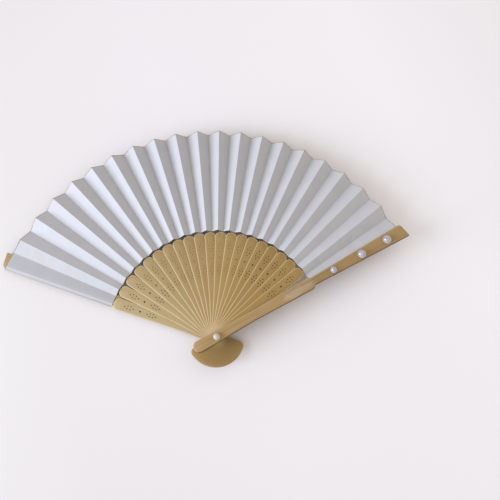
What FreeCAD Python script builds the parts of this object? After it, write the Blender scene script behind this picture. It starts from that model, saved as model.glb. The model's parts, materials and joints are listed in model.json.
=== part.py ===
# Folding hand fan: a pleated paper leaf on twenty pierced bamboo ribs, between two guards, on one rivet.
# Millimetres and degrees. The fan lies open, +Z up along the rivet and +Y through the middle of the fan.
# The origin is on the rivet's axis, at the underside of its foot.
import FreeCAD, Part
import math
import os

import Sketcher

doc = FreeCAD.newDocument("folding_hand_fan")
sheet = doc.addObject("Spreadsheet::Sheet", "sizes")

DRIVING_SIZES = [
    # How many ribs there are, and how far the fan lies open
    ("rib_count", 20),
    ("first_fold_angle", 155.5),
    ("middle_step_angle", 6.12),
    ("end_step_angle", 7.1),
    # How far each fold leads the stick that carries it: the slips lie behind the right-hand panels
    ("first_lead_angle", 0.0),
    ("middle_lead_angle", 1.8),
    ("last_lead_angle", 0.5),
    ("back_guard_lead_angle", 1.2),
    ("front_guard_lead_angle", 2.0),
    # The stack on the rivet
    ("foot_radius", 3.2),
    ("foot_height", 0.8),
    ("pin_radius", 1.45),
    ("pin_clearance", 0.05),
    ("layer_gap", 0.1),
    # Ribs: a thin waisted blade with a rounded end, and a narrow slip that carries the leaf
    ("rib_thickness", 0.7),
    ("rib_tail", 23.5),
    ("rib_tail_half", 4.6),
    ("rib_waist_at", 34.0),
    ("rib_waist_half", 4.0),
    ("blade_reach", 90.0),
    ("blade_half", 4.95),
    ("blade_corner", 3.9),
    ("tail_corner", 4.2),
    ("slip_thickness", 0.45),
    ("slip_root_half", 1.1),
    ("slip_tip_half", 0.9),
    ("slip_reach", 181.0),
    ("slip_root_lap", 4.0),
    # Holes pierced in each blade: two oval rings of small dots, with one larger hole between them
    ("eye_at", 67.2),
    ("eye_radius", 0.8),
    ("near_ring_at", 57.2),
    ("far_ring_at", 76.9),
    ("ring_half_length", 3.7),
    ("ring_side_at", 1.35),
    ("ring_half_width", 1.2),
    ("dot_radius", 0.5),
    # Guards: thicker, with a shoulder and a bar that widens towards its tip
    ("guard_thickness", 2.8),
    ("guard_tail", 20.0),
    ("guard_tail_half", 4.9),
    ("guard_tail_corner", 4.5),
    ("guard_waist_at", 34.0),
    ("guard_waist_half", 4.0),
    ("guard_shoulder_at", 92.0),
    ("guard_shoulder_half", 5.4),
    ("guard_shoulder_corner", 3.9),
    ("bar_thickness", 2.4),
    ("bar_lap", 8.0),
    ("bar_left_root", 3.9),
    ("bar_left_tip", 6.8),
    ("bar_right_root", 2.8),
    ("bar_right_tip", 6.1),
    ("bar_reach", 187.5),
    ("bar_slant", 2.4),
    ("bar_left_corner", 3.0),
    ("bar_right_corner", 1.2),
    # Pearls: domed beads with a flat back, one on the rivet and three along the front guard's bar:
    # one from its shoulder, one from its tip, and one about halfway between them
    ("rivet_pearl_radius", 2.8),
    ("low_pearl_radius", 3.0),
    ("low_pearl_from_shoulder", 20.4),
    ("high_pearl_from_tip", 18.9),
    ("middle_pearl_shift", 0.9),
    ("pearl_radius", 3.8),
    ("pearl_side", 0.5),
    ("pearl_seat_angle", 20.0),
    # Leaf: each panel spreads this angle when it lies flat
    ("leaf_inner", 91.0),
    ("leaf_outer", 185.0),
    ("panel_angle", 4.05),
    ("paper_height", 0.25),
    ("paper_clearance", 0.1),
    ("end_tab", 4.0),
    ("slip_foot", 0.6),
]
for row, (name, value) in enumerate(DRIVING_SIZES, start=1):
    sheet.set(f"A{row}", name)
    sheet.set(f"B{row}", str(value))
    sheet.setAlias(f"B{row}", name)
doc.recompute()


def size(name):
    """A driving dimension as a plain number."""
    return float(sheet.get(name))


RIB_COUNT = int(size("rib_count"))
PITCH = "(sizes.rib_thickness + sizes.layer_gap)"
BACK_GUARD_TOP = "(sizes.foot_height + sizes.guard_thickness)"
FIRST_LAYER = f"({BACK_GUARD_TOP} + sizes.layer_gap)"
FRONT_GUARD_BASE = f"({FIRST_LAYER} + {RIB_COUNT} * {PITCH})"
FRONT_GUARD_TOP = f"({FRONT_GUARD_BASE} + sizes.guard_thickness)"
BAR_TOP = f"({FRONT_GUARD_BASE} + sizes.bar_thickness)"
BORE_RADIUS = "sizes.pin_radius + sizes.pin_clearance"


def fold_angle(index):
    """The angle of an upper fold, counted from the left, as an expression: the end pleats are widest."""
    middle = (RIB_COUNT - 1) / 2
    widening = sum(((step - middle) / middle) ** 2 for step in range(index))
    spread = "(sizes.end_step_angle - sizes.middle_step_angle)"
    turned = f"{index} * sizes.middle_step_angle + {widening:.6f} * {spread}"
    return f"(sizes.first_fold_angle - ({turned}))"


def fold_lead(index):
    """How far an upper fold lies to the left of its own rib, as an expression: most in the fan's middle."""
    share = index / (RIB_COUNT - 1)
    bow = 4 * share * (1 - share)
    from_first = f"{1 - share - bow / 2:.6f} * sizes.first_lead_angle"
    from_last = f"{share - bow / 2:.6f} * sizes.last_lead_angle"
    return f"({from_first} + {from_last} + {bow:.6f} * sizes.middle_lead_angle)"


def place(thing, height, angle):
    """Bind a sub-part's height on the rivet and its turn about it."""
    thing.setExpression("Placement.Base.z", height)
    thing.setExpression("Placement.Rotation.Angle", angle)


# Sketches, pads and cuts that the ribs and guards share


def new_sketch(body, name):
    """A sketch on the body's own XY plane."""
    plane = next(item for item in body.Origin.OriginFeatures if item.Role == "XY_Plane")
    sketch = body.newObject("Sketcher::SketchObject", name)
    sketch.AttachmentSupport = [(plane, "")]
    sketch.MapMode = "FlatFace"
    return sketch


def hold_point(sketch, shape_index, point_index, name, across, along):
    """Hold one point at signed distances from the origin, each bound to the sheet."""
    for kind, text in (("DistanceX", across), ("DistanceY", along)):
        distance = float(sketch.evalExpression(text.lstrip("-")))
        if distance == 0:
            axis = -2 if kind == "DistanceX" else -1
            sketch.addConstraint(Sketcher.Constraint("PointOnObject", shape_index, point_index, axis))
            continue
        ends = (-1, 1, shape_index, point_index)
        if text.startswith("-"):
            ends = (shape_index, point_index, -1, 1)
        constraint = sketch.addConstraint(Sketcher.Constraint(kind, *ends, distance))
        label = f"{name}_{kind[-1]}"
        sketch.renameConstraint(constraint, label)
        sketch.setExpression(f"Constraints.{label}", text.lstrip("-"))


def signed(sketch, text):
    """The number that a signed expression stands for."""
    number = float(sketch.evalExpression(text.lstrip("-")))
    return -number if text.startswith("-") else number


def draw_outline(sketch, corners):
    """A closed outline of straight sides through the corners."""
    points = [FreeCAD.Vector(signed(sketch, x), signed(sketch, y), 0) for x, y in corners]
    for index, start in enumerate(points):
        sketch.addGeometry(Part.LineSegment(start, points[(index + 1) % len(points)]))
    for index in range(len(points)):
        following = (index + 1) % len(points)
        sketch.addConstraint(Sketcher.Constraint("Coincident", index, 2, following, 1))
    for index, (x, y) in enumerate(corners):
        hold_point(sketch, index, 1, f"corner{index}", x, y)


def draw_hole(sketch, name, x, y, radius):
    """A circle with its centre and radius bound to the sheet."""
    centre = FreeCAD.Vector(signed(sketch, x), signed(sketch, y), 0)
    reach = float(sketch.evalExpression(radius))
    index = sketch.addGeometry(Part.Circle(centre, FreeCAD.Vector(0, 0, 1), reach))
    hold_point(sketch, index, 3, name, x, y)
    constraint = sketch.addConstraint(Sketcher.Constraint("Radius", index, reach))
    sketch.renameConstraint(constraint, f"{name}_radius")
    sketch.setExpression(f"Constraints.{name}_radius", radius)


def pad(body, sketch, name, thickness, downwards=False):
    """A plate of the sketch's outline, upwards or downwards from the body's own XY plane."""
    plate = body.newObject("PartDesign::Pad", name)
    plate.Profile = sketch
    plate.Reversed = downwards
    plate.setExpression("Length", thickness)
    doc.recompute()
    return plate


def round_corners(body, name, corners, radius):
    """Round the upright edges that stand at the given corners."""
    tip = body.Tip
    wanted = [(signed(tip, x), signed(tip, y)) for x, y in corners]
    edges = []
    for number, edge in enumerate(tip.Shape.Edges, start=1):
        low, high = edge.Vertexes[0].Point, edge.Vertexes[-1].Point
        upright = math.hypot(low.x - high.x, low.y - high.y) < 1e-6
        if upright and any(math.hypot(low.x - x, low.y - y) < 1e-4 for x, y in wanted):
            edges.append(f"Edge{number}")
    rounding = body.newObject("PartDesign::Fillet", name)
    rounding.Base = (tip, edges)
    rounding.setExpression("Radius", radius)
    doc.recompute()


def pierce(body, sketch, name, downwards=False):
    """Cut the sketch's holes through the whole plate, the way it was padded, and make sure of it."""
    volume_before = body.Shape.Volume
    cut = body.newObject("PartDesign::Pocket", name)
    cut.Profile = sketch
    cut.Type = "ThroughAll"
    cut.Reversed = not downwards
    doc.recompute()
    if not body.Shape.Volume < volume_before:
        raise RuntimeError(f"{body.Label}: {name} cut nothing")


# Ribs: sawn from flat bamboo, and threaded on the rivet one above the other


def add_rib(number):
    """One rib: a waisted blade with a rounded tail and end, a slip beyond it, the bore and the holes."""
    node = f"rib_{number:02d}"
    rib = doc.addObject("PartDesign::Body", node)
    rib.Label = node

    blade_corners = [
        ("-sizes.rib_tail", "-sizes.rib_tail_half"),
        ("sizes.rib_waist_at", "-sizes.rib_waist_half"),
        ("sizes.blade_reach", "-sizes.blade_half"),
        ("sizes.blade_reach", "sizes.blade_half"),
        ("sizes.rib_waist_at", "sizes.rib_waist_half"),
        ("-sizes.rib_tail", "sizes.rib_tail_half"),
    ]
    blade = new_sketch(rib, f"{node}_blade_outline")
    draw_outline(blade, blade_corners)
    pad(rib, blade, f"{node}_blade", "sizes.rib_thickness")
    tail_corners = [blade_corners[0], blade_corners[5]]
    round_corners(rib, f"{node}_tail_rounding", tail_corners, "sizes.tail_corner")
    end_corners = [blade_corners[2], blade_corners[3]]
    round_corners(rib, f"{node}_end_rounding", end_corners, "sizes.blade_corner")

    slip_start = "sizes.blade_reach - sizes.slip_root_lap"
    slip = new_sketch(rib, f"{node}_slip_outline")
    draw_outline(
        slip,
        [
            (slip_start, "-sizes.slip_root_half"),
            ("sizes.slip_reach", "-sizes.slip_tip_half"),
            ("sizes.slip_reach", "sizes.slip_tip_half"),
            (slip_start, "sizes.slip_root_half"),
        ],
    )
    pad(rib, slip, f"{node}_slip", "sizes.slip_thickness")

    holes = new_sketch(rib, f"{node}_holes")
    draw_hole(holes, "bore", "0", "0", BORE_RADIUS)
    draw_hole(holes, "eye", "sizes.eye_at", "0", "sizes.eye_radius")
    for ring in ("near_ring", "far_ring"):
        for end, sign in (("lower", "-"), ("upper", "+")):
            tip = f"sizes.{ring}_at {sign} sizes.ring_half_length"
            draw_hole(holes, f"{ring}_{end}_tip", tip, "0", "sizes.dot_radius")
            beside = f"sizes.{ring}_at {sign} sizes.ring_side_at"
            draw_hole(holes, f"{ring}_{end}_left", beside, "sizes.ring_half_width", "sizes.dot_radius")
            draw_hole(holes, f"{ring}_{end}_right", beside, "-sizes.ring_half_width", "sizes.dot_radius")
    pierce(rib, holes, f"{node}_piercing")

    height = f"{FIRST_LAYER} + {number - 1} * {PITCH}"
    place(rib, height, f"{fold_angle(number - 1)} - {fold_lead(number - 1)}")
    return rib


# Guards: the two thick outer sticks, mirror images with their flat inner faces towards the ribs


def add_guard(node, inner_face, angle, downwards):
    """One guard: a waisted blade with a rounded shoulder, and a thinner bar that backs the leaf's end."""
    guard = doc.addObject("PartDesign::Body", node)
    guard.Label = node

    blade_corners = [
        ("-sizes.guard_tail", "-sizes.guard_tail_half"),
        ("sizes.guard_waist_at", "-sizes.guard_waist_half"),
        ("sizes.guard_shoulder_at", "-sizes.guard_shoulder_half"),
        ("sizes.guard_shoulder_at", "sizes.guard_shoulder_half"),
        ("sizes.guard_waist_at", "sizes.guard_waist_half"),
        ("-sizes.guard_tail", "sizes.guard_tail_half"),
    ]
    blade = new_sketch(guard, f"{node}_blade_outline")
    draw_outline(blade, blade_corners)
    pad(guard, blade, f"{node}_blade", "sizes.guard_thickness", downwards)
    tail_corners = [blade_corners[0], blade_corners[5]]
    round_corners(guard, f"{node}_tail_rounding", tail_corners, "sizes.guard_tail_corner")
    shoulder_corners = [blade_corners[2], blade_corners[3]]
    round_corners(guard, f"{node}_shoulder_rounding", shoulder_corners, "sizes.guard_shoulder_corner")

    bar_start = "sizes.guard_shoulder_at - sizes.bar_lap"
    bar_corners = [
        (bar_start, "-sizes.bar_right_root"),
        ("sizes.bar_reach + sizes.bar_slant", "-sizes.bar_right_tip"),
        ("sizes.bar_reach", "sizes.bar_left_tip"),
        (bar_start, "sizes.bar_left_root"),
    ]
    bar = new_sketch(guard, f"{node}_bar_outline")
    draw_outline(bar, bar_corners)
    pad(guard, bar, f"{node}_bar", "sizes.bar_thickness", downwards)
    round_corners(guard, f"{node}_tip_left", [bar_corners[2]], "sizes.bar_left_corner")
    round_corners(guard, f"{node}_tip_right", [bar_corners[1]], "sizes.bar_right_corner")

    bore = new_sketch(guard, f"{node}_bore_outline")
    draw_hole(bore, "bore", "0", "0", BORE_RADIUS)
    pierce(guard, bore, f"{node}_bore", downwards)
    place(guard, inner_face, angle)
    return guard


# Rivet: a flat foot under the back guard, and a pin through every bore up to its pearl


def add_rivet():
    foot = doc.addObject("Part::Cylinder", "rivet_foot")
    foot.setExpression("Radius", "sizes.foot_radius")
    foot.setExpression("Height", "sizes.foot_height")
    pin = doc.addObject("Part::Cylinder", "rivet_pin")
    pin.setExpression("Radius", "sizes.pin_radius")
    pin.setExpression("Height", f"{FRONT_GUARD_TOP} + sizes.layer_gap")
    rivet = doc.addObject("Part::Fuse", "rivet")
    rivet.Base = foot
    rivet.Tool = pin
    rivet.Label = "rivet"
    return rivet


# Pearls: domed beads, flat behind


def add_pearl(node, radius, base_height, along, across, angle):
    """One pearl, with its flat back at base_height, at its place along and across a stick."""
    pearl = doc.addObject("Part::Sphere", node)
    pearl.Label = node
    pearl.setExpression("Radius", radius)
    pearl.setExpression("Angle1", "-sizes.pearl_seat_angle")
    turn = f"(({angle}) * 1 deg)"
    pearl.setExpression("Placement.Base.x", f"{along} * cos({turn}) - {across} * sin({turn})")
    pearl.setExpression("Placement.Base.y", f"{along} * sin({turn}) + {across} * cos({turn})")
    seat = f"{radius} * sin(sizes.pearl_seat_angle * 1 deg)"
    pearl.setExpression("Placement.Base.z", f"{base_height} + {seat}")
    return pearl


# Leaf: one sheet of paper, pleated over the slips


def evaluated(text):
    """The number that an expression stands for."""
    return float(sheet.evalExpression(text.replace("sizes.", "")))


def panel_slope(step):
    """How steeply a panel stands where its pleat spreads over one step."""
    return math.sqrt(size("panel_angle") ** 2 - (step / 2) ** 2) / (step / 2)


def fold_lines():
    """The leaf's folds from left to right, each as its inner and outer point on the upper side."""
    angles = [evaluated(fold_angle(index)) for index in range(RIB_COUNT + 1)]
    steps = [left - right for left, right in zip(angles, angles[1:])]
    slopes = [panel_slope(step) for step in steps]
    slip_top = evaluated(FIRST_LAYER) + size("slip_thickness")
    paper_on_slip = size("paper_clearance") + size("paper_height")
    narrowest_panel = size("leaf_inner") * math.radians(min(steps) / 2)
    steepest = max(slopes) + evaluated(PITCH) / 2 / narrowest_panel

    # The left end is glued flat on the back guard's bar, and the first panel runs over the first slip
    bed = evaluated(BACK_GUARD_TOP) + size("paper_height")
    on_first_slip = slip_top + paper_on_slip
    first_rib = angles[0] - evaluated(fold_lead(0))
    lap = size("slip_root_half") + size("paper_clearance")
    lines = [
        ray(angles[0], bed, bed, size("end_tab")),
        ray(first_rib, bed, bed, lap + size("slip_foot")),
        ray(first_rib, on_first_slip, on_first_slip, lap),
        ray(first_rib, on_first_slip, on_first_slip, -lap),
    ]
    first_valley = bed + size("paper_clearance")
    lines.append(ray(angles[0] - steps[0] / 2, first_valley, first_valley))

    # Every later fold clears its own slip, and the last one is glued under the front guard's bar
    upper = [None]
    for index in range(1, RIB_COUNT):
        apex = slip_top + index * evaluated(PITCH) + size("slip_root_half") * steepest + paper_on_slip
        climb = math.tan(math.radians(evaluated(fold_lead(index)))) * slopes[index]
        upper.append((apex + climb * size("leaf_inner"), apex + climb * size("leaf_outer")))
    under_bar = evaluated(FRONT_GUARD_BASE) - size("paper_clearance")
    upper.append((under_bar, under_bar))
    for index in range(1, RIB_COUNT):
        lines.append(ray(angles[index], *upper[index]))
        fall = math.tan(math.radians(steps[index] / 2)) * slopes[index]
        valley = [
            (here + there) / 2 - fall * radius
            for here, there, radius in zip(
                upper[index], upper[index + 1], (size("leaf_inner"), size("leaf_outer"))
            )
        ]
        lines.append(ray(angles[index] - steps[index] / 2, *valley))
    lines.append(ray(angles[RIB_COUNT], under_bar, under_bar))
    lines.append(ray(angles[RIB_COUNT], under_bar, under_bar, -size("end_tab")))
    return lines


def ray(angle, inner_height, outer_height, left=0.0):
    """A fold line from the leaf's inner to its outer edge, moved to its left by a distance."""
    along = FreeCAD.Vector(math.cos(math.radians(angle)), math.sin(math.radians(angle)), 0)
    aside = FreeCAD.Vector(-along.y, along.x, 0) * left
    inner = along * size("leaf_inner") + aside + FreeCAD.Vector(0, 0, inner_height)
    outer = along * size("leaf_outer") + aside + FreeCAD.Vector(0, 0, outer_height)
    return inner, outer


def facet(*corners):
    """A flat face through the corners."""
    return Part.Face(Part.makePolygon([*corners, corners[0]]))


def add_leaf():
    """The pleated sheet, closed from facets between its folds."""
    lines = fold_lines()
    down = FreeCAD.Vector(0, 0, -size("paper_height"))
    faces = []
    for (inner, outer), (next_inner, next_outer) in zip(lines, lines[1:]):
        for shift in (FreeCAD.Vector(), down):
            faces.append(facet(inner + shift, outer + shift, next_outer + shift))
            faces.append(facet(inner + shift, next_outer + shift, next_inner + shift))
        faces.append(facet(inner, next_inner, next_inner + down, inner + down))
        faces.append(facet(outer, next_outer, next_outer + down, outer + down))
    for inner, outer in (lines[0], lines[-1]):
        faces.append(facet(inner, outer, outer + down, inner + down))
    shell = Part.makeShell(faces)
    shell.sewShape()
    solid = Part.makeSolid(shell)
    if solid.Volume < 0:
        solid.reverse()
    leaf = doc.addObject("Part::Feature", "leaf")
    leaf.Label = "leaf"
    leaf.Shape = solid
    leaf.Placement = FreeCAD.Placement()
    return leaf


# The fan put together, from the back guard up

FRONT_ANGLE = f"{fold_angle(RIB_COUNT)} - sizes.front_guard_lead_angle"
BACK_ANGLE = f"{fold_angle(0)} - sizes.back_guard_lead_angle"
sub_parts = [add_guard("back_guard", BACK_GUARD_TOP, BACK_ANGLE, downwards=True)]
for rib_number in range(1, RIB_COUNT + 1):
    sub_parts.append(add_rib(rib_number))
sub_parts.append(add_guard("front_guard", FRONT_GUARD_BASE, FRONT_ANGLE, downwards=False))
sub_parts.append(add_leaf())
sub_parts.append(add_rivet())
PEARL_BASE = f"({FRONT_GUARD_TOP} + sizes.layer_gap)"
LOW_PEARL_AT = "(sizes.guard_shoulder_at + sizes.low_pearl_from_shoulder)"
HIGH_PEARL_AT = "(sizes.bar_reach - sizes.high_pearl_from_tip)"
MIDDLE_PEARL_AT = f"(({LOW_PEARL_AT} + {HIGH_PEARL_AT}) / 2 + sizes.middle_pearl_shift)"
sub_parts.append(add_pearl("rivet_pearl", "sizes.rivet_pearl_radius", PEARL_BASE, "0", "0", "0"))
for pearl_node, pearl_radius, pearl_at in (
    ("pearl_low", "sizes.low_pearl_radius", LOW_PEARL_AT),
    ("pearl_middle", "sizes.pearl_radius", MIDDLE_PEARL_AT),
    ("pearl_high", "sizes.pearl_radius", HIGH_PEARL_AT),
):
    pearl = add_pearl(pearl_node, pearl_radius, BAR_TOP, pearl_at, "sizes.pearl_side", FRONT_ANGLE)
    sub_parts.append(pearl)

doc.recompute()
for item in doc.Objects:
    if "Invalid" in item.State or "Error" in item.State:
        raise RuntimeError(f"{item.Name} failed: {item.State}")
for sub_part in sub_parts:
    if sub_part.Shape.isNull() or not sub_part.Shape.isValid():
        raise RuntimeError(f"{sub_part.Label} has no valid shape")

os.makedirs("parts", exist_ok=True)
for sub_part in sub_parts:
    sub_part.Shape.exportStep(f"parts/{sub_part.Label}.step")
print(len(sub_parts), "sub-parts written")
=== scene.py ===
import json
import math

import bpy
from mathutils import Matrix, Vector

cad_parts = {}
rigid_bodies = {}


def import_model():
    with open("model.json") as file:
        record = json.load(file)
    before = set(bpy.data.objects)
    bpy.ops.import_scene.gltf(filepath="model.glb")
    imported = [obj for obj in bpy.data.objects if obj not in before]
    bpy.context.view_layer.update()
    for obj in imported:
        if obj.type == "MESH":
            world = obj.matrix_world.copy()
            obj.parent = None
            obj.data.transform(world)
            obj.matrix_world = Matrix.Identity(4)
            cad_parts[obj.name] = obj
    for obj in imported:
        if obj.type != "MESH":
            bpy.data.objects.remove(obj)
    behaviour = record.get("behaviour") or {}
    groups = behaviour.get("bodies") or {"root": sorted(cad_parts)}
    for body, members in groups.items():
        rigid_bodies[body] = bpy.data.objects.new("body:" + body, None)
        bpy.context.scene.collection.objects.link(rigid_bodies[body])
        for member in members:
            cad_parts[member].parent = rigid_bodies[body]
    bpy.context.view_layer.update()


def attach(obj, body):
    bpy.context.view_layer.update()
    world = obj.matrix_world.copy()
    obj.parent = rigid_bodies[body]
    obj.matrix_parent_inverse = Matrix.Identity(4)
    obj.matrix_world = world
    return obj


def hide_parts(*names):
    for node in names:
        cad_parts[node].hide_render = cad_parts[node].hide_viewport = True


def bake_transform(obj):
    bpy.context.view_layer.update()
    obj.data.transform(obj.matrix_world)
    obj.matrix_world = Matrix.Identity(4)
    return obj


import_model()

MM = 0.001


# Camera. A hand-held wide lens close above the fan, tilted a little back from straight down.
# Its place comes from the photograph's view of the folds, the pearls and the guard's tip.

CAMERA_LENS = 31.62
CAMERA_DISTANCE = 392.5 * MM
CAMERA_TARGET = Vector((36.4, 74.8, 0.0)) * MM
CAMERA_TILT = math.radians(16.29)
CAMERA_HEADING = math.radians(23.85)
CAMERA_ROLL = math.radians(18.65)
CAMERA_NEAR = 10.0 * MM

bpy.ops.object.camera_add()
camera = bpy.context.object
camera.name = "camera"
camera.data.lens = CAMERA_LENS
camera.data.clip_start = CAMERA_NEAR
turned = (
    Matrix.Rotation(-CAMERA_HEADING, 4, "Z")
    @ Matrix.Rotation(CAMERA_TILT, 4, "X")
    @ Matrix.Rotation(CAMERA_ROLL, 4, "Z")
)
backwards = (turned @ Vector((0, 0, 1, 0))).xyz
camera.matrix_world = Matrix.Translation(CAMERA_TARGET + backwards * CAMERA_DISTANCE) @ turned
bpy.context.scene.camera = camera
bpy.context.scene.view_settings.view_transform = "Standard"


# Table. A plain matt off-white surface that the fan lies on, wide enough for every view.
# It takes the soft shadows of the leaf and the guards. Its tone deepens a little towards the window,
# which evens out the light on it.

TABLE_WIDTH = 6.0
TABLE_ROUGHNESS = 0.9
TABLE_TURN = math.radians(16.0)
TABLE_COLOURS = [
    (-0.30, (0.655, 0.616, 0.597)),
    (-0.12, (0.735, 0.697, 0.685)),
    (0.03, (0.848, 0.814, 0.825)),
    (0.25, (0.960, 0.935, 0.965)),
]

bpy.ops.mesh.primitive_plane_add(size=TABLE_WIDTH)
table = bpy.context.object
table.name = "table"


def new_material(name, colour, roughness):
    """A node material with its shader's plain values set, and the parts that a finish is wired from."""
    material = bpy.data.materials.new(name)
    material.use_nodes = True
    tree = material.node_tree
    shader = tree.nodes["Principled BSDF"]
    shader.inputs["Base Color"].default_value = (*colour, 1)
    shader.inputs["Roughness"].default_value = roughness
    return material, tree, shader


def noise(tree, coordinates, stretch, detail, roughness=0.5, shift=(0, 0, 0)):
    """The grey value of a noise, stretched by a Mapping node."""
    mapping = tree.nodes.new("ShaderNodeMapping")
    mapping.inputs["Scale"].default_value = stretch
    mapping.inputs["Location"].default_value = shift
    tree.links.new(coordinates, mapping.inputs["Vector"])
    texture = tree.nodes.new("ShaderNodeTexNoise")
    texture.inputs["Scale"].default_value = 1.0
    texture.inputs["Detail"].default_value = detail
    texture.inputs["Roughness"].default_value = roughness
    tree.links.new(mapping.outputs["Vector"], texture.inputs["Vector"])
    return texture.outputs["Fac"]


def spread(tree, value, low, high, to_low=0.0, to_high=1.0):
    """A value spread from one range to another, and held inside it."""
    node = tree.nodes.new("ShaderNodeMapRange")
    node.inputs["From Min"].default_value = low
    node.inputs["From Max"].default_value = high
    node.inputs["To Min"].default_value = to_low
    node.inputs["To Max"].default_value = to_high
    tree.links.new(value, node.inputs["Value"])
    return node.outputs["Result"]


def mix(tree, share, first, second, blend="MIX"):
    """Two colours mixed by a share. Each is a colour or the output of another node."""
    node = tree.nodes.new("ShaderNodeMix")
    node.data_type = "RGBA"
    node.blend_type = blend
    if isinstance(share, float):
        node.inputs["Factor"].default_value = share
    else:
        tree.links.new(share, node.inputs["Factor"])
    first_socket, second_socket, result = node.inputs[6], node.inputs[7], node.outputs[2]
    for socket, colour in ((first_socket, first), (second_socket, second)):
        if isinstance(colour, tuple):
            socket.default_value = (*colour, 1)
        else:
            tree.links.new(colour, socket)
    return result


def graded(tree, value, stops):
    """A colour that changes with a value, from stop to stop: each is a value and its colour."""
    low, high = stops[0][0], stops[-1][0]
    ramp = tree.nodes.new("ShaderNodeValToRGB")
    elements = ramp.color_ramp.elements
    while len(elements) < len(stops):
        elements.new(0.5)
    for element, (at, colour) in zip(elements, stops):
        element.position = (at - low) / (high - low)
        element.color = (*colour, 1)
    tree.links.new(spread(tree, value, low, high), ramp.inputs["Fac"])
    return ramp.outputs["Color"]


def coordinate(tree, vector, axis):
    """One coordinate of a vector."""
    split = tree.nodes.new("ShaderNodeSeparateXYZ")
    tree.links.new(vector, split.inputs["Vector"])
    return split.outputs[axis]


def bump(tree, shader, layers):
    """Relief from one or more heights, each with its depth in metres."""
    normal = None
    for height, depth in layers:
        node = tree.nodes.new("ShaderNodeBump")
        node.inputs["Strength"].default_value = 1.0
        node.inputs["Distance"].default_value = depth
        tree.links.new(height, node.inputs["Height"])
        if normal is not None:
            tree.links.new(normal, node.inputs["Normal"])
        normal = node.outputs["Normal"]
    tree.links.new(normal, shader.inputs["Normal"])


table_finish, tree, shader = new_material("table_top", TABLE_COLOURS[2][1], TABLE_ROUGHNESS)
place = tree.nodes.new("ShaderNodeTexCoord").outputs["Object"]
away = tree.nodes.new("ShaderNodeMapping")
away.inputs["Rotation"].default_value = (0, 0, -TABLE_TURN)
tree.links.new(place, away.inputs["Vector"])
table_tone = graded(tree, coordinate(tree, away.outputs["Vector"], "X"), TABLE_COLOURS)
tree.links.new(table_tone, shader.inputs["Base Color"])
table.data.materials.append(table_finish)


# Light. One large cool window low on the left, and soft, slightly warm light from all round the room.
# The window stands near enough for the right-hand pleats to get less of it.

WINDOW_SIDE = math.radians(-168.0)
WINDOW_HEIGHT = math.radians(22.0)
WINDOW_AIM = Vector((0.0, 90.0, 10.0)) * MM
WINDOW_DISTANCE = 1.0
WINDOW_SIZE = 0.55
WINDOW_POWER = 9.5
WINDOW_COLOUR = (0.87, 0.985, 1.19)
ROOM_COLOUR = (0.995, 0.952, 0.905)
ROOM_STRENGTH = 0.767

window_way = Vector(
    (
        math.cos(WINDOW_SIDE) * math.cos(WINDOW_HEIGHT),
        math.sin(WINDOW_SIDE) * math.cos(WINDOW_HEIGHT),
        math.sin(WINDOW_HEIGHT),
    )
)
bpy.ops.object.light_add(type="AREA")
window = bpy.context.object
window.name = "window"
window.data.shape = "SQUARE"
window.data.size = WINDOW_SIZE
window.data.energy = WINDOW_POWER
window.data.color = WINDOW_COLOUR
window.location = WINDOW_AIM + window_way * WINDOW_DISTANCE
window.rotation_euler = window_way.to_track_quat("Z", "Y").to_euler()

room = bpy.data.worlds.new("room")
bpy.context.scene.world = room
room.use_nodes = True
room.node_tree.nodes["Background"].inputs["Color"].default_value = (*ROOM_COLOUR, 1)
room.node_tree.nodes["Background"].inputs["Strength"].default_value = ROOM_STRENGTH


# Rivet. A turned brass pin on a flat foot, which stands on the table and threads every stick.
# The foot's rim is rounded over, and the pin ends under its pearl.

FOOT_RADIUS = 3.2 * MM
FOOT_HEIGHT = 0.8 * MM
PIN_RADIUS = 1.45 * MM
GUARD_THICKNESS = 2.8 * MM
RIB_THICKNESS = 0.7 * MM
LAYER_GAP = 0.1 * MM
RIB_COUNT = 20
RIM_ROUNDING = 0.25 * MM
TURNED_SIDES = 48
SHARP_EDGE = math.radians(40.0)
SOFT_EDGE = math.radians(35.0)
FACING_UP = 0.9
BRASS = (0.78, 0.57, 0.25)
BRASS_WORN = (0.66, 0.45, 0.19)
BRASS_ROUGHNESS = (0.22, 0.42)
TARNISH = (420, 420, 900)
TURNING_MARKS = (300, 300, 6000)
TURNING_DEPTH = 0.02 * MM

PITCH = RIB_THICKNESS + LAYER_GAP
BACK_GUARD_TOP = FOOT_HEIGHT + GUARD_THICKNESS
FIRST_LAYER = BACK_GUARD_TOP + LAYER_GAP
FRONT_GUARD_BASE = FIRST_LAYER + RIB_COUNT * PITCH
FRONT_GUARD_TOP = FRONT_GUARD_BASE + GUARD_THICKNESS
PIN_TOP = FRONT_GUARD_TOP + LAYER_GAP


def start_piece():
    """Nothing is selected, so that the next operator acts on the new piece alone."""
    if bpy.context.mode != "OBJECT":
        bpy.ops.object.mode_set(mode="OBJECT")
    bpy.ops.object.select_all(action="DESELECT")


def pick(piece, test, kind="FACE"):
    """Select, in edit mode, the faces or points of a piece whose centre and normal pass a test."""
    bpy.ops.object.mode_set(mode="EDIT")
    bpy.ops.mesh.select_mode(type=kind)
    bpy.ops.mesh.select_all(action="DESELECT")
    bpy.ops.object.mode_set(mode="OBJECT")
    if kind == "FACE":
        for face in piece.data.polygons:
            face.select = test(face.center, face.normal)
    else:
        for point in piece.data.vertices:
            point.select = test(point.co)
    bpy.ops.object.mode_set(mode="EDIT")


def apply_bevel(piece, width, segments, angle):
    """Round the edges that are sharper than an angle."""
    bevel = piece.modifiers.new("rounding", "BEVEL")
    bevel.width = width
    bevel.segments = segments
    bevel.limit_method = "ANGLE"
    bevel.angle_limit = angle
    bpy.context.view_layer.objects.active = piece
    bpy.ops.object.modifier_apply(modifier=bevel.name)


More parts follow.
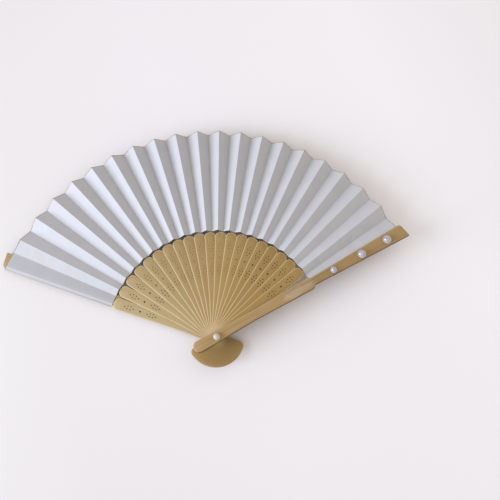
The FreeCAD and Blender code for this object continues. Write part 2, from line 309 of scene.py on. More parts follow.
def smooth(piece, angle=SOFT_EDGE):
    """Smooth shading, with the sharper edges kept."""
    start_piece()
    piece.select_set(True)
    bpy.context.view_layer.objects.active = piece
    bpy.ops.object.shade_smooth_by_angle(angle=angle)


start_piece()
bpy.ops.mesh.primitive_cylinder_add(
    vertices=TURNED_SIDES, radius=FOOT_RADIUS, depth=FOOT_HEIGHT, location=(0, 0, FOOT_HEIGHT / 2)
)
rivet = bpy.context.object
rivet.name = "rivet_turned"
bpy.ops.object.transform_apply(location=True, rotation=False, scale=False)
pick(rivet, lambda centre, normal: normal.z > FACING_UP)
bpy.ops.mesh.inset(thickness=FOOT_RADIUS - PIN_RADIUS)
bpy.ops.mesh.extrude_region_move(TRANSFORM_OT_translate={"value": (0, 0, PIN_TOP - FOOT_HEIGHT)})
bpy.ops.object.mode_set(mode="OBJECT")
apply_bevel(rivet, RIM_ROUNDING, 4, SHARP_EDGE)
smooth(rivet)

brass_finish, tree, shader = new_material("rivet_brass", BRASS, 0.3)
shader.inputs["Metallic"].default_value = 1.0
place = tree.nodes.new("ShaderNodeTexCoord").outputs["Object"]
tarnish = noise(tree, place, TARNISH, 4)
brass_tone = mix(tree, spread(tree, tarnish, 0.4, 0.65), BRASS, BRASS_WORN)
tree.links.new(brass_tone, shader.inputs["Base Color"])
tree.links.new(spread(tree, tarnish, 0.3, 0.7, *BRASS_ROUGHNESS), shader.inputs["Roughness"])
bump(tree, shader, [(noise(tree, place, TURNING_MARKS, 2), TURNING_DEPTH)])
rivet.data.materials.append(brass_finish)
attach(rivet, "back_guard")
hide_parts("rivet")


# Back guard. The thick outer stick at the left, under the leaf's first panel, with its flat face up.
# It is sawn from bamboo, waisted, with a rounded tail and shoulder, and a thinner bar beyond it.

GUARD_TAIL = 20.0 * MM
GUARD_TAIL_HALF = 4.9 * MM
GUARD_TAIL_CORNER = 4.5 * MM
GUARD_WAIST_AT = 34.0 * MM
GUARD_WAIST_HALF = 4.0 * MM
GUARD_SHOULDER_AT = 92.0 * MM
GUARD_SHOULDER_HALF = 5.4 * MM
GUARD_SHOULDER_CORNER = 3.9 * MM
BAR_THICKNESS = 2.4 * MM
BAR_LAP = 8.0 * MM
BAR_ROOT = (-2.8 * MM, 3.9 * MM)
BAR_TIP = (-6.1 * MM, 6.8 * MM)
BAR_REACH = 187.5 * MM
BAR_SLANT = 2.4 * MM
BAR_LEFT_CORNER = 3.0 * MM
BAR_RIGHT_CORNER = 1.2 * MM
GUARD_CHAMFER = 0.7 * MM
GUARD_CHAMFER_DROP = 0.4 * MM
BORE_RADIUS = 1.5 * MM
BACK_GUARD_LEAD = 1.2
CORNER_STEPS = 8
SAW_ROUNDING = 0.12 * MM
NEAR = 0.001 * MM
SMALL_HOLE = 1.0 * MM
SMALL_HOLE_SIDES = 12
BORE_SIDES = 24
DRILL_OVERRUN = 1.04

FIRST_FOLD_ANGLE = 155.5
MIDDLE_STEP = 6.12
END_STEP = 7.1

DEEP_SHARE = (0.86, 0.82, 0.74)
TONE_SHARE = (0.93, 0.82, 0.68)
SCORCH_SHARE = (0.42, 0.33, 0.24)
FIBRES = (60, 3600, 1)
BANDS = (14, 260, 1)
FLECKS = (420, 5200, 1)
CLOUDS = (26, 60, 1)
STREAKS = (22, 950, 1)
RIPPLES = (70, 500, 1)
BAND_DEPTH = 0.2 * MM
FIBRE_DEPTH = 0.06 * MM
FLECKED = 0.55
TAIL_FADE = (-9.0 * MM, -2.0 * MM)
TAIL_SHARE = 0.75
BAMBOO_SHINE = 0.3
GUARD_FACE = (0.44, 0.299, 0.14)
GUARD_LEFT_EDGE = (0.46, 0.33, 0.19)
# Painted shade: the guard's right-facing edges are coloured dark brown to stand for the shade along
# that side.
GUARD_RIGHT_EDGE_PAINTED_SHADE = (0.17, 0.12, 0.065)
GUARD_STREAKED = 0.4
# Painted sheen: a pale patch on the guard's shoulder that stands for a reflection of light, given as
# its centre, half sizes and colour.
PAINTED_SHEEN_PATCH = ((78.0 * MM, 2.2 * MM), (16.0 * MM, 3.0 * MM), (0.56, 0.45, 0.34))
FLAT_FACE = 0.95
RIGHT_SIDE = -0.35
BACK_GRAIN_SHIFT = 0.3


def fold_angle(index):
    """The angle of an upper fold in degrees, counted from the left: the pleats widen to both ends."""
    middle = (RIB_COUNT - 1) / 2
    widening = sum(((step - middle) / middle) ** 2 for step in range(index))
    return FIRST_FOLD_ANGLE - index * MIDDLE_STEP - widening * (END_STEP - MIDDLE_STEP)


def plate(start, end, start_sides, end_sides):
    """A flat outline along +X, with its right and left sides at given distances from the X axis."""
    start_piece()
    bpy.ops.mesh.primitive_plane_add(size=1, location=((start + end) / 2, 0, 0))
    piece = bpy.context.object
    piece.scale = (end - start, 1, 1)
    bpy.ops.object.transform_apply(location=True, rotation=False, scale=True)
    middle = (start + end) / 2
    for at_end, (right, left) in ((False, start_sides), (True, end_sides)):
        pick(piece, lambda point: (point.x > middle) == at_end, "VERT")
        bpy.ops.transform.resize(value=(1, left - right, 1))
        bpy.ops.transform.translate(value=(0, (left + right) / 2, 0))
    bpy.ops.object.mode_set(mode="OBJECT")
    return piece


def round_corner(piece, at, side, radius):
    """Round the plate's corners at one place along it, on the right, the left or both sides."""
    pick(piece, lambda point: abs(point.x - at) < NEAR and point.y * side >= 0, "VERT")
    bpy.ops.mesh.bevel(offset=radius, segments=CORNER_STEPS, affect="VERTICES")
    bpy.ops.object.mode_set(mode="OBJECT")


def thicken(piece, thickness, chamfer, drop):
    """Raise a flat outline to a plate whose upper edge slopes off all round."""
    pick(piece, lambda centre, normal: True)
    rise = thickness - drop
    bpy.ops.mesh.extrude_region_move(TRANSFORM_OT_translate={"value": (0, 0, rise)})
    bpy.ops.mesh.select_all(action="SELECT")
    bpy.ops.mesh.normals_make_consistent(inside=False)
    pick(piece, lambda centre, normal: centre.z > rise - NEAR and normal.z > FACING_UP)
    bpy.ops.mesh.inset(thickness=chamfer, depth=drop)
    bpy.ops.object.mode_set(mode="OBJECT")


def combine(piece, other, operation):
    """Join another solid to the piece, or cut it out, and clear the other away."""
    boolean = piece.modifiers.new("join", "BOOLEAN")
    boolean.operation = operation
    boolean.solver = "EXACT"
    boolean.object = other
    bpy.context.view_layer.objects.active = piece
    bpy.ops.object.modifier_apply(modifier=boolean.name)
    bpy.data.objects.remove(other)


def blade(tail, tail_half, waist_at, waist_half, end, end_half, tail_corner, end_corner):
    """The flat outline of a waisted stick with rounded corners."""
    piece = plate(-tail, end, (-tail_half, tail_half), (-end_half, end_half))
    bpy.ops.object.mode_set(mode="EDIT")
    bpy.ops.mesh.select_all(action="SELECT")
    bpy.ops.mesh.bisect(plane_co=(waist_at, 0, 0), plane_no=(1, 0, 0))
    pick(piece, lambda point: abs(point.x - waist_at) < NEAR, "VERT")
    straight_half = tail_half + (end_half - tail_half) * (waist_at + tail) / (end + tail)
    bpy.ops.transform.resize(value=(1, waist_half / straight_half, 1))
    bpy.ops.object.mode_set(mode="OBJECT")
    for at, corner in ((-tail, tail_corner), (end, end_corner)):
        for side in (-1, 1):
            round_corner(piece, at, side, corner)
    return piece


def drill(piece, holes, depth):
    """Cut round holes through the piece, each given by its place along and across it, its radius at
    the upper face and its radius at the lower one."""
    start_piece()
    for along, across, above, below in holes:
        bpy.ops.mesh.primitive_cone_add(
            vertices=BORE_SIDES if above > SMALL_HOLE else SMALL_HOLE_SIDES,
            radius1=below, radius2=above,
            depth=depth * DRILL_OVERRUN, location=(along, across, depth / 2),
        )
        bpy.context.object.name = "drill"
    drills = [thing for thing in bpy.data.objects if thing.name.startswith("drill")]
    start_piece()
    for thing in drills:
        thing.select_set(True)
    bpy.context.view_layer.objects.active = drills[0]
    bpy.ops.object.join()
    bpy.ops.object.transform_apply(location=True, rotation=False, scale=False)
    combine(piece, drills[0], "DIFFERENCE")


def lay_grain(piece):
    """A UV map in metres along and across the stick, so that the fibres run along it."""
    layer = piece.data.uv_layers.new(name="Grain")
    for face in piece.data.polygons:
        for corner in face.loop_indices:
            point = piece.data.vertices[piece.data.loops[corner].vertex_index].co
            layer.data[corner].uv = (point.x, point.y + point.z)


def uv_map(tree, name):
    """The places on a piece's own UV map."""
    node = tree.nodes.new("ShaderNodeUVMap")
    node.uv_map = name
    return node.outputs["UV"]


def length_of(tree, vector):
    """How far a place is from the middle of its map."""
    node = tree.nodes.new("ShaderNodeVectorMath")
    node.operation = "LENGTH"
    tree.links.new(vector, node.inputs[0])
    return node.outputs["Value"]


def worked_out(tree, operation, first, second):
    """A value from two others, by one of the Math node's operations."""
    node = tree.nodes.new("ShaderNodeMath")
    node.operation = operation
    tree.links.new(first, node.inputs[0])
    tree.links.new(second, node.inputs[1])
    return node.outputs["Value"]


def bamboo(name, pale, roughness, flecked=FLECKED, streaked=0.0, tail_tone=None, painted_sheen=None):
    """Bamboo split along its fibres: fine streaks, broad bands, short dark flecks and a satin surface.
    Its pale tone is one colour, or stops that grade it from the first stick to the last."""
    graded_tone = isinstance(pale, list)
    material, tree, shader = new_material(name, pale[0][1] if graded_tone else pale, roughness)
    along = uv_map(tree, "Grain")
    if graded_tone:
        pale = graded(tree, coordinate(tree, along, "Y"), pale)
    deep = mix(tree, 1.0, pale, DEEP_SHARE, "MULTIPLY")
    tone = mix(tree, 1.0, pale, TONE_SHARE, "MULTIPLY")
    scorch = mix(tree, 1.0, pale, SCORCH_SHARE, "MULTIPLY")
    fibres = noise(tree, along, FIBRES, 3, 0.6)
    bands = noise(tree, along, BANDS, 2)
    flecks = noise(tree, along, FLECKS, 2, shift=(3, 7, 0))
    clouds = noise(tree, along, CLOUDS, 2, shift=(9, 1, 0))
    streaks = noise(tree, along, STREAKS, 2, shift=(5, 2, 0))
    colour = mix(tree, spread(tree, fibres, 0.35, 0.7), pale, deep)
    colour = mix(tree, spread(tree, streaks, 0.5, 0.66, 0.0, streaked), colour, scorch)
    colour = mix(tree, spread(tree, bands, 0.42, 0.72, 0.0, 0.75), colour, tone)
    colour = mix(tree, spread(tree, clouds, 0.5, 0.8, 0.0, 0.5), colour, tone)
    colour = mix(tree, spread(tree, flecks, 0.66, 0.74, 0.0, flecked), colour, scorch)
    if tail_tone is not None:
        tail = spread(tree, coordinate(tree, along, "X"), *TAIL_FADE, TAIL_SHARE, 0.0)
        colour = mix(tree, tail, colour, tail_tone)
    satin = spread(tree, fibres, 0.3, 0.7, roughness - 0.06, roughness + 0.12)
    # Painted sheen: a pale patch with a rippled rim is mixed into the colour, standing for a reflection
    # of light.
    if painted_sheen is not None:
        centre, half, sheen_colour = painted_sheen
        mapping = tree.nodes.new("ShaderNodeMapping")
        mapping.inputs["Location"].default_value = (-centre[0] / half[0], -centre[1] / half[1], 0)
        mapping.inputs["Scale"].default_value = (1 / half[0], 1 / half[1], 0)
        tree.links.new(along, mapping.inputs["Vector"])
        ripple = spread(tree, noise(tree, along, RIPPLES, 2), 0.3, 0.7, -0.3, 0.3)
        rim = worked_out(tree, "ADD", length_of(tree, mapping.outputs["Vector"]), ripple)
        colour = mix(tree, spread(tree, rim, 0.75, 1.05, 0.5, 0.0), colour, sheen_colour)
    tree.links.new(colour, shader.inputs["Base Color"])
    tree.links.new(satin, shader.inputs["Roughness"])
    shader.inputs["Specular IOR Level"].default_value = BAMBOO_SHINE
    bump(tree, shader, [(bands, BAND_DEPTH), (fibres, FIBRE_DEPTH)])
    return material


guard = blade(
    GUARD_TAIL, GUARD_TAIL_HALF, GUARD_WAIST_AT, GUARD_WAIST_HALF,
    GUARD_SHOULDER_AT, GUARD_SHOULDER_HALF, GUARD_TAIL_CORNER, GUARD_SHOULDER_CORNER,
)
guard.name = "guard_pattern"
thicken(guard, GUARD_THICKNESS, GUARD_CHAMFER, GUARD_CHAMFER_DROP)
bar = plate(GUARD_SHOULDER_AT - BAR_LAP, BAR_REACH, BAR_ROOT, BAR_TIP)
pick(bar, lambda point: point.x > BAR_REACH - NEAR and point.y < 0, "VERT")
bpy.ops.transform.translate(value=(BAR_SLANT, 0, 0))
bpy.ops.object.mode_set(mode="OBJECT")
round_corner(bar, BAR_REACH + BAR_SLANT, -1, BAR_RIGHT_CORNER)
round_corner(bar, BAR_REACH, 1, BAR_LEFT_CORNER)
thicken(bar, BAR_THICKNESS, GUARD_CHAMFER, GUARD_CHAMFER_DROP)
combine(guard, bar, "UNION")
drill(guard, [(0, 0, BORE_RADIUS, BORE_RADIUS)], GUARD_THICKNESS)
apply_bevel(guard, SAW_ROUNDING, 2, SHARP_EDGE)
smooth(guard)
lay_grain(guard)

guard_finishes = [
    bamboo("guard_face", GUARD_FACE, 0.42, streaked=GUARD_STREAKED, painted_sheen=PAINTED_SHEEN_PATCH),
    bamboo("guard_left_edge", GUARD_LEFT_EDGE, 0.5),
    bamboo("guard_right_edge_painted_shade", GUARD_RIGHT_EDGE_PAINTED_SHADE, 0.6),
]
for material in guard_finishes:
    guard.data.materials.append(material)
# Flat faces take the face finish. Edges that face right get the dark painted shade; the other edges
# keep the cut edge's tone.
for face in guard.data.polygons:
    if abs(face.normal.z) > FLAT_FACE:
        face.material_index = 0
    else:
        face.material_index = 2 if face.normal.y < RIGHT_SIDE else 1


def lay_stick(pattern, name, angle, height, grain_shift, upside_down=False):
    """A copy of a stick, with its own mesh, turned about the rivet and laid at its height."""
    stick = pattern.copy()
    stick.data = pattern.data.copy()
    stick.name = name
    bpy.context.scene.collection.objects.link(stick)
    for corner in stick.data.uv_layers["Grain"].data:
        corner.uv[1] += grain_shift
    if upside_down:
        stick.data.transform(Matrix.Scale(-1, 4, Vector((0, 0, 1))))
        stick.data.flip_normals()
    turn = Matrix.Rotation(math.radians(angle), 4, "Z")
    stick.data.transform(Matrix.Translation((0, 0, height)) @ turn)
    return stick


back_guard = lay_stick(
    guard, "back_guard_stick", fold_angle(0) - BACK_GUARD_LEAD, BACK_GUARD_TOP,
    BACK_GRAIN_SHIFT, upside_down=True,
)
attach(back_guard, "back_guard")
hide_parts("back_guard")


# Ribs. Twenty thin bamboo sticks on the rivet, each lying over the one to its left. Each is a waisted
# blade with a rounded tail and end, pierced with two rings of dots and one larger hole, which narrow
# downwards. It runs on as a narrow slip, glued behind its right-hand panel of the leaf.

RIB_TAIL = 23.5 * MM
RIB_TAIL_HALF = 4.6 * MM
RIB_WAIST_AT = 34.0 * MM
RIB_WAIST_HALF = 4.0 * MM
BLADE_REACH = 90.0 * MM
BLADE_HALF = 4.95 * MM
BLADE_CORNER = 3.9 * MM
TAIL_CORNER = 4.2 * MM
RIB_CHAMFER = 0.75 * MM
RIB_CHAMFER_DROP = 0.25 * MM
SLIP_THICKNESS = 0.45 * MM
SLIP_ROOT_HALF = 1.1 * MM
SLIP_TIP_HALF = 0.9 * MM
SLIP_REACH = 181.0 * MM
SLIP_ROOT_LAP = 4.0 * MM
EYE_AT = 67.2 * MM
EYE_RADIUS = 0.8 * MM
RING_PLACES = (57.2 * MM, 76.9 * MM)
RING_HALF_LENGTH = 3.7 * MM
RING_SIDE_AT = 1.35 * MM
RING_HALF_WIDTH = 1.2 * MM
DOT_RADIUS = 0.5 * MM
FIRST_LEAD = 0.0
MIDDLE_LEAD = 1.8
LAST_LEAD = 0.5
RIB_TONES = {
    1: (0.487, 0.394, 0.215),
    3: (0.460, 0.345, 0.178),
    6: (0.408, 0.300, 0.140),
    9: (0.389, 0.270, 0.118),
    13: (0.391, 0.270, 0.106),
    17: (0.358, 0.231, 0.080),
    20: (0.380, 0.253, 0.092),
}
RIB_EDGES = {1: (0.60, 0.50, 0.31), 8: (0.57, 0.46, 0.27), 20: (0.52, 0.39, 0.20)}
HOLE_NARROWING = 0.2
# The dots' lining tone for each rib. The dark tones on the outer ribs are painted shade, for dots that
# look into deep shade below; the middle ribs are near the cut bamboo's tone.
HOLE_TONES_WITH_PAINTED_SHADE = {
    1: (0.10, 0.068, 0.038),
    3: (0.14, 0.095, 0.052),
    5: (0.33, 0.24, 0.12),
    7: (0.46, 0.33, 0.155),
    13: (0.46, 0.315, 0.135),
    15: (0.22, 0.14, 0.06),
    16: (0.07, 0.043, 0.02),
    20: (0.05, 0.032, 0.015),
}
HOLE_CHAR = (0.45, 0.40, 0.35)
CHAR_SPECKS = (2500, 2500, 1)
TAIL_TONE = (0.375, 0.232, 0.08)
TAIL_END = (0.56, 0.55, 0.52)
TAIL_END_DEEP = (0.44, 0.41, 0.36)
TAIL_END_AT = -14.0 * MM
TAIL_PORES = (3000, 3000, 1)
STICK_SHIFT = 0.037
RIB_FLECKED_EDGE = 0.3
RIB_SOFT_EDGE = math.radians(20.0)
HOLE_REACH = 1.1
LEVEL_FACE = 0.98
SLOPED_FACE = 0.9
UPRIGHT_FACE = 0.3


def by_stick(tones):
    """The colours of the sticks as stops of a grade: each stick's grain is shifted by its number."""
    return [(number * STICK_SHIFT, colour) for number, colour in tones.items()]


rib_face = bamboo("rib_face", by_stick(RIB_TONES), 0.56, tail_tone=TAIL_TONE)
rib_edge = bamboo(
    "rib_cut_edge", by_stick(RIB_EDGES), 0.6, flecked=RIB_FLECKED_EDGE, tail_tone=TAIL_TONE
)
# Painted shade: the linings are graded from rib to rib, dark where the dots open onto shade, with dark
# specks multiplied over them.
hole_finish, tree, shader = new_material("hole_lining_painted_shade", HOLE_TONES_WITH_PAINTED_SHADE[1], 0.8)
grain = uv_map(tree, "Grain")
lining = graded(tree, coordinate(tree, grain, "Y"), by_stick(HOLE_TONES_WITH_PAINTED_SHADE))
char = spread(tree, noise(tree, grain, CHAR_SPECKS, 2), 0.4, 0.7, 0.0, 0.6)
tree.links.new(mix(tree, char, lining, HOLE_CHAR, "MULTIPLY"), shader.inputs["Base Color"])
tail_end_finish, tree, shader = new_material("rib_tail_end", TAIL_END, 0.6)
pores = noise(tree, uv_map(tree, "Grain"), TAIL_PORES, 2)
tree.links.new(mix(tree, pores, TAIL_END, TAIL_END_DEEP), shader.inputs["Base Color"])

rib = blade(
    RIB_TAIL, RIB_TAIL_HALF, RIB_WAIST_AT, RIB_WAIST_HALF,
    BLADE_REACH, BLADE_HALF, TAIL_CORNER, BLADE_CORNER,
)
rib.name = "rib_pattern"
thicken(rib, RIB_THICKNESS, RIB_CHAMFER, RIB_CHAMFER_DROP)
slip = plate(
    BLADE_REACH - SLIP_ROOT_LAP, SLIP_REACH,
    (-SLIP_ROOT_HALF, SLIP_ROOT_HALF), (-SLIP_TIP_HALF, SLIP_TIP_HALF),
)
thicken(slip, SLIP_THICKNESS, SAW_ROUNDING, SAW_ROUNDING)
combine(rib, slip, "UNION")
rib_holes = [
    (0, 0, BORE_RADIUS, BORE_RADIUS),
    (EYE_AT, 0, EYE_RADIUS, EYE_RADIUS * HOLE_NARROWING),
]
for ring in RING_PLACES:
    for end in (-1, 1):
        dots = [(ring + end * RING_HALF_LENGTH, 0)]
        dots += [(ring + end * RING_SIDE_AT, side * RING_HALF_WIDTH) for side in (-1, 1)]
        rib_holes += [(*dot, DOT_RADIUS, DOT_RADIUS * HOLE_NARROWING) for dot in dots]
drill(rib, rib_holes, RIB_THICKNESS)
smooth(rib, RIB_SOFT_EDGE)
lay_grain(rib)
for material in (rib_face, rib_edge, hole_finish, tail_end_finish):
    rib.data.materials.append(material)
for face in rib.data.polygons:
    slope = abs(face.normal.z)
    in_hole = any(
        math.hypot(face.center.x - along, face.center.y - across) < radius * HOLE_REACH
        for along, across, radius, _ in rib_holes
    )
    if in_hole and slope < SLOPED_FACE:
        face.material_index = 2
    elif slope > LEVEL_FACE:
        face.material_index = 0
    else:
        face.material_index = 3 if slope < UPRIGHT_FACE and face.center.x < TAIL_END_AT else 1


def fold_lead(index):
    """How many degrees an upper fold lies to the left of its own rib: most in the fan's middle."""
    share = index / (RIB_COUNT - 1)
    bow = 4 * share * (1 - share)
    return (1 - share - bow / 2) * FIRST_LEAD + (share - bow / 2) * LAST_LEAD + bow * MIDDLE_LEAD


def stick_body(index):
    """The body that carries an upper fold, counted from the left."""
    if index == 0:
        return "back_guard"
    return "front_guard" if index == RIB_COUNT else f"rib_{index + 1:02d}"


for index in range(RIB_COUNT):
    number = index + 1
    stick = lay_stick(
        rib, f"rib_stick_{number:02d}", fold_angle(index) - fold_lead(index),
        FIRST_LAYER + index * PITCH, STICK_SHIFT * number,
    )
    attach(stick, stick_body(index))
    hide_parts(f"rib_{number:02d}")
bpy.data.objects.remove(rib)


# Leaf. One sheet of white paper, pleated. Its back is dark brown painted shade, which darkens the gaps
# under the leaf, and a fine gilt line along its outer edge also paints the shade at the paper's edge.
# Its left end is pasted on the back guard's bar, its right end under the front guard's bar,
# and each upper fold rises over a slip. Each panel is flat, so the leaf bends only at its folds.

LEAF_INNER = 91.0 * MM
LEAF_OUTER = 185.0 * MM
PANEL_ANGLE = 4.05
PAPER_HEIGHT = 0.25 * MM
PAPER_CLEARANCE = 0.1 * MM
END_TAB = 4.0 * MM
SLIP_FOOT = 0.6 * MM
PANEL_ROWS = 12
PAPER_WHITE = (0.535, 0.528, 0.545)
PAPER_SHADE = (0.515, 0.509, 0.53)
# Painted shade for the first panel, and where it lies across the panel as shares of its angle.
PAPER_PAINTED_SHADE = (0.43, 0.425, 0.44)
BACKING_PAINTED_SHADE = (0.17, 0.11, 0.07)
BACKING_PAINTED_SHADE_DEEP = (0.12, 0.075, 0.05)
# A gilt-brown colour for the edge lines, which also paints the shade at the paper's edges.
GILT_AND_EDGE_SHADE = (0.30, 0.19, 0.08)
EDGE_LINE_WIDTH = 0.6 * MM
EDGE_LINE_SOFTNESS = 0.1 * MM
EDGE_LINE_SHARE = 0.85
EDGE_LINE_WANDER = 0.3 * MM
# Painted shadow: a thin dark line along the leaf's left edge, with its width and share.
LEFT_EDGE_PAINTED_SHADE = (0.3 * MM, 0.6 * MM)
LEFT_EDGE_SHADE_SHARE = 0.6
PAINTED_SHADE_SHARES = (0.0, 0.25, 0.4, 0.97, 1.05)
BLACK, WHITE = (0, 0, 0), (1, 1, 1)
PAPER_ROUGHNESS = 0.72
PAPER_FIBRES = (1500, 1500, 1)
PAPER_FIBRE_DEPTH = 0.03 * MM
PAPER_WAVES = (45, 45, 1)
PAPER_WAVE_DEPTH = 0.6 * MM
PAPER_CLOUDS = (90, 90, 1)
EDGE_LINE_RUN = (160, 160, 1)
BACKING_SPECKS = (700, 700, 1)

steps = [fold_angle(index) - fold_angle(index + 1) for index in range(RIB_COUNT)]
slopes = [math.sqrt(PANEL_ANGLE**2 - (step / 2) ** 2) / (step / 2) for step in steps]
slip_top = FIRST_LAYER + SLIP_THICKNESS
paper_on_slip = PAPER_CLEARANCE + PAPER_HEIGHT
narrowest_panel = LEAF_INNER * math.radians(min(steps) / 2)
steepest = max(slopes) + PITCH / 2 / narrowest_panel
bed = BACK_GUARD_TOP + PAPER_HEIGHT
under_bar = FRONT_GUARD_BASE - PAPER_CLEARANCE


def ray(angle, heights, left=0.0):
    """A fold line from the leaf's inner to its outer edge, moved to its left by a distance."""
    along = Vector((math.cos(math.radians(angle)), math.sin(math.radians(angle)), 0))
    aside = Vector((-along.y, along.x, 0)) * left
    return [
        along * radius + aside + Vector((0, 0, height))
        for radius, height in zip((LEAF_INNER, LEAF_OUTER), heights)
    ]


def upper_heights(index):
    """How high an upper fold stands at the leaf's inner and outer edge."""
    if index == 0:
        return bed, bed
    if index == RIB_COUNT:
        return under_bar, under_bar
    apex = slip_top + index * PITCH + SLIP_ROOT_HALF * steepest + paper_on_slip
    climb = math.tan(math.radians(fold_lead(index))) * slopes[index]
    return apex + climb * LEAF_INNER, apex + climb * LEAF_OUTER


def valley_heights(index):
    """How high the valley to the right of an upper fold stands at the two edges."""
    if index == 0:
        return bed + PAPER_CLEARANCE, bed + PAPER_CLEARANCE
    fall = math.tan(math.radians(steps[index] / 2)) * slopes[index]
    return [
        (here + there) / 2 - fall * radius
        for here, there, radius in zip(
            upper_heights(index), upper_heights(index + 1), (LEAF_INNER, LEAF_OUTER)
        )
    ]


def paper(name, lines, first_turn, last_turn):
    """Flat panels between fold lines, with a UV map of the sheet before it was folded."""
    start_piece()
    bpy.ops.mesh.primitive_grid_add(x_subdivisions=len(lines) - 1, y_subdivisions=PANEL_ROWS, size=1)
    piece = bpy.context.object
    piece.name = name
    flat_places = []
    for point in piece.data.vertices:
        across = (point.co.x + 0.5) * (len(lines) - 1)
        outwards = point.co.y + 0.5
        inner, outer = lines[round(across)]
        turn = math.radians(first_turn + (last_turn - first_turn) * across / (len(lines) - 1))
        radius = LEAF_INNER + (LEAF_OUTER - LEAF_INNER) * outwards
        flat_places.append((-math.cos(turn) * radius, math.sin(turn) * radius))
        point.co = inner.lerp(outer, outwards)
    layer = piece.data.uv_layers.new(name="Sheet")
    for face in piece.data.polygons:
        for corner in face.loop_indices:
            layer.data[corner].uv = flat_places[piece.data.loops[corner].vertex_index]
    if piece.data.polygons[0].normal.z < 0:
        piece.data.flip_normals()
    thickness = piece.modifiers.new("thickness", "SOLIDIFY")
    thickness.thickness = PAPER_HEIGHT
    thickness.offset = -1
    thickness.use_even_offset = True
    thickness.material_offset = 1
    piece.data.materials.append(paper_finish)
    piece.data.materials.append(painted_shade_backing)
    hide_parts("leaf")
    return piece


paper_finish, tree, shader = new_material("leaf_paper", PAPER_WHITE, PAPER_ROUGHNESS)
flat = uv_map(tree, "Sheet")
fibres = noise(tree, flat, PAPER_FIBRES, 4, 0.65)
clouding = noise(tree, flat, PAPER_CLOUDS, 3)
wander = spread(tree, noise(tree, flat, EDGE_LINE_RUN, 2), 0.3, 0.7, -EDGE_LINE_WANDER, EDGE_LINE_WANDER)
edge = worked_out(tree, "ADD", length_of(tree, flat), wander)
colour = mix(tree, spread(tree, clouding, 0.35, 0.7), PAPER_WHITE, PAPER_SHADE)
# Painted shade: most of the first panel, from rib one's slip to the first valley, is darkened to the
# grey of a panel turned away from the light.
leftwards = spread(tree, coordinate(tree, flat, "X"), -1, 1, 1, -1)
sheet_turn = worked_out(tree, "ARCTAN2", coordinate(tree, flat, "Y"), leftwards)
painted_shade_turns = [math.radians(PANEL_ANGLE) * share for share in PAINTED_SHADE_SHARES]
painted_shade = graded(tree, sheet_turn, list(zip(painted_shade_turns, (BLACK, BLACK, WHITE, WHITE, BLACK))))
colour = mix(tree, painted_shade, colour, PAPER_PAINTED_SHADE)
# Painted shadow: a thin dark line along the leaf's left edge, standing for the shadow cast below that
# edge.
left_edge_shade = spread(tree, coordinate(tree, flat, "Y"), *LEFT_EDGE_PAINTED_SHADE, LEFT_EDGE_SHADE_SHARE, 0.0)
colour = mix(tree, left_edge_shade, colour, GILT_AND_EDGE_SHADE)
# The outer edge line: a gilt band that also paints the shade at the paper's edge.
edge_line_from = LEAF_OUTER - EDGE_LINE_WIDTH
edge_line_share = spread(tree, edge, edge_line_from - EDGE_LINE_SOFTNESS, edge_line_from + EDGE_LINE_SOFTNESS, 0.0, EDGE_LINE_SHARE)
tree.links.new(mix(tree, edge_line_share, colour, GILT_AND_EDGE_SHADE), shader.inputs["Base Color"])
waves = noise(tree, flat, PAPER_WAVES, 1)
bump(tree, shader, [(waves, PAPER_WAVE_DEPTH), (fibres, PAPER_FIBRE_DEPTH)])

# Painted shade: the leaf's back is dark brown with darker specks, so the gaps where one looks under the
# leaf show dark.
painted_shade_backing, tree, shader = new_material("leaf_back_painted_shade", BACKING_PAINTED_SHADE, 0.8)
backing_specks = noise(tree, uv_map(tree, "Sheet"), BACKING_SPECKS, 4, 0.6)
tree.links.new(mix(tree, backing_specks, BACKING_PAINTED_SHADE, BACKING_PAINTED_SHADE_DEEP), shader.inputs["Base Color"])

rib_one = fold_angle(0) - fold_lead(0)
lap = SLIP_ROOT_HALF + PAPER_CLEARANCE
over_slip = (slip_top + paper_on_slip,) * 2
valleys = [
    ray(fold_angle(index) - steps[index] / 2, valley_heights(index)) for index in range(RIB_COUNT)
]
uppers = [ray(fold_angle(index), upper_heights(index)) for index in range(RIB_COUNT + 1)]
on_bar = (bed, bed)
first_lines = [
    ray(fold_angle(0), on_bar, END_TAB),
    ray(rib_one, on_bar, lap + SLIP_FOOT),
    ray(rib_one, over_slip, lap),
    ray(rib_one, over_slip, -lap),
    valleys[0],
]
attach(paper("leaf_end_left", first_lines, 0, PANEL_ANGLE), stick_body(0))
for index in range(1, RIB_COUNT):
    turn = 2 * index * PANEL_ANGLE
    panel = paper(f"leaf_panel_{index:02d}", [uppers[index], valleys[index]], turn, turn + PANEL_ANGLE)
    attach(panel, stick_body(index))
last_turn = 2 * RIB_COUNT * PANEL_ANGLE
last_lines = [uppers[RIB_COUNT], ray(fold_angle(RIB_COUNT), (under_bar, under_bar), -END_TAB)]
tab = paper("leaf_end_right", last_lines, last_turn, last_turn + PANEL_ANGLE / 2)
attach(tab, stick_body(RIB_COUNT))


for index in range(RIB_COUNT):
    turn = (2 * index + 1) * PANEL_ANGLE
    lines = [valleys[index], uppers[index + 1]]
    panel = paper(f"leaf_turn_{index + 1:02d}", lines, turn, turn + PANEL_ANGLE)
    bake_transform(panel)


# Front guard. The same stick as the back guard, on top of the stack with its chamfered face up.
# The leaf's right end is pasted under its bar, which carries three pearls.

FRONT_GUARD_LEAD = 2.0

front_angle = fold_angle(RIB_COUNT) - FRONT_GUARD_LEAD
front_guard = lay_stick(guard, "front_guard_stick", front_angle, FRONT_GUARD_BASE, 0.0)
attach(front_guard, "front_guard")
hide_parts("front_guard")
bpy.data.objects.remove(guard)


# Pearls. Domed beads with a flat back: three glued along the front guard's bar, and one on the rivet.
# The guard's pearls are glossy, and the rivet's is a plain satin bead.

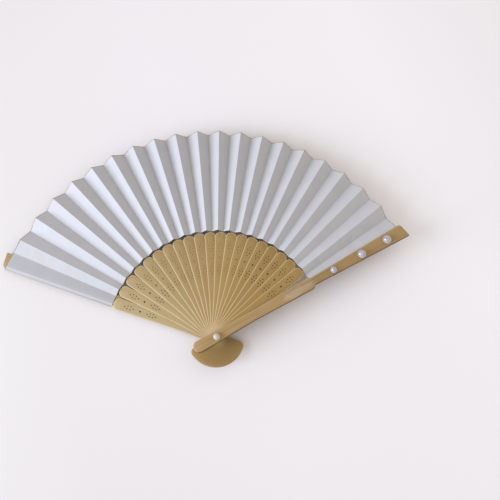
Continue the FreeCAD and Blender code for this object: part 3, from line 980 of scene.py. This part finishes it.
RIVET_PEARL_RADIUS = 2.8 * MM
LOW_PEARL_RADIUS = 3.0 * MM
PEARL_RADIUS = 3.8 * MM
LOW_PEARL_FROM_SHOULDER = 20.4 * MM
HIGH_PEARL_FROM_TIP = 18.9 * MM
MIDDLE_PEARL_SHIFT = 0.9 * MM
PEARL_SIDE = 0.5 * MM
PEARL_SEAT_ANGLE = math.radians(20)
PEARL_RINGS = 24
PEARL_SEGMENTS = 48
PEARL_WHITE = (0.46, 0.43, 0.455)
PEARL_ROSE = (0.33, 0.30, 0.34)
BEAD_WHITE = (0.56, 0.50, 0.43)
BEAD_SHADE = (0.50, 0.43, 0.36)
PEARL_CLOUDS = (260, 260, 260)
PEARL_GRAIN = (900, 900, 900)
PEARL_GRAIN_DEPTH = 0.01 * MM
PEARL_SHINE = 0.6
COAT_ROUGHNESS = 0.06
COAT_IOR = 1.8


def pearl(name, centre, radius):
    """A round bead, cut flat behind and closed there."""
    start_piece()
    bpy.ops.mesh.primitive_uv_sphere_add(segments=PEARL_SEGMENTS, ring_count=PEARL_RINGS, radius=radius)
    piece = bpy.context.object
    piece.name = name
    bpy.ops.object.mode_set(mode="EDIT")
    bpy.ops.mesh.select_all(action="SELECT")
    seat = -radius * math.sin(PEARL_SEAT_ANGLE)
    bpy.ops.mesh.bisect(plane_co=(0, 0, seat), plane_no=(0, 0, 1), clear_inner=True, use_fill=True)
    bpy.ops.object.mode_set(mode="OBJECT")
    piece.data.transform(Matrix.Translation(centre - Vector((0, 0, seat))))
    smooth(piece)
    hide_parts(name.removesuffix("_bead"))
    return piece


def pearl_finish(name, pale, shade, roughness, coat):
    """A nacreous surface: a slow change of tone round the bead, under a clear coat."""
    material, tree, shader = new_material(name, pale, roughness)
    place = tree.nodes.new("ShaderNodeTexCoord").outputs["Object"]
    tone = spread(tree, noise(tree, place, PEARL_CLOUDS, 3), 0.35, 0.65)
    tree.links.new(mix(tree, tone, pale, shade), shader.inputs["Base Color"])
    shader.inputs["Coat Weight"].default_value = coat
    shader.inputs["Coat Roughness"].default_value = COAT_ROUGHNESS
    shader.inputs["Coat IOR"].default_value = COAT_IOR
    shader.inputs["Specular IOR Level"].default_value = PEARL_SHINE
    bump(tree, shader, [(noise(tree, place, PEARL_GRAIN, 2), PEARL_GRAIN_DEPTH)])
    return material


glossy_pearl = pearl_finish("pearl_nacre", PEARL_WHITE, PEARL_ROSE, 0.12, 1.0)
satin_pearl = pearl_finish("rivet_bead", BEAD_WHITE, BEAD_SHADE, 0.38, 0.1)
guard_way = Matrix.Rotation(math.radians(front_angle), 3, "Z")
bar_top = FRONT_GUARD_BASE + BAR_THICKNESS
low_pearl_at = GUARD_SHOULDER_AT + LOW_PEARL_FROM_SHOULDER
high_pearl_at = BAR_REACH - HIGH_PEARL_FROM_TIP
for name, along, radius in (
    ("pearl_low", low_pearl_at, LOW_PEARL_RADIUS),
    ("pearl_middle", (low_pearl_at + high_pearl_at) / 2 + MIDDLE_PEARL_SHIFT, PEARL_RADIUS),
    ("pearl_high", high_pearl_at, PEARL_RADIUS),
):
    bead = pearl(f"{name}_bead", guard_way @ Vector((along, PEARL_SIDE, bar_top)), radius)
    bead.data.materials.append(glossy_pearl)
    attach(bead, "front_guard")
cap = pearl("rivet_pearl_bead", Vector((0, 0, PIN_TOP)), RIVET_PEARL_RADIUS)
cap.data.materials.append(satin_pearl)
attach(cap, "back_guard")
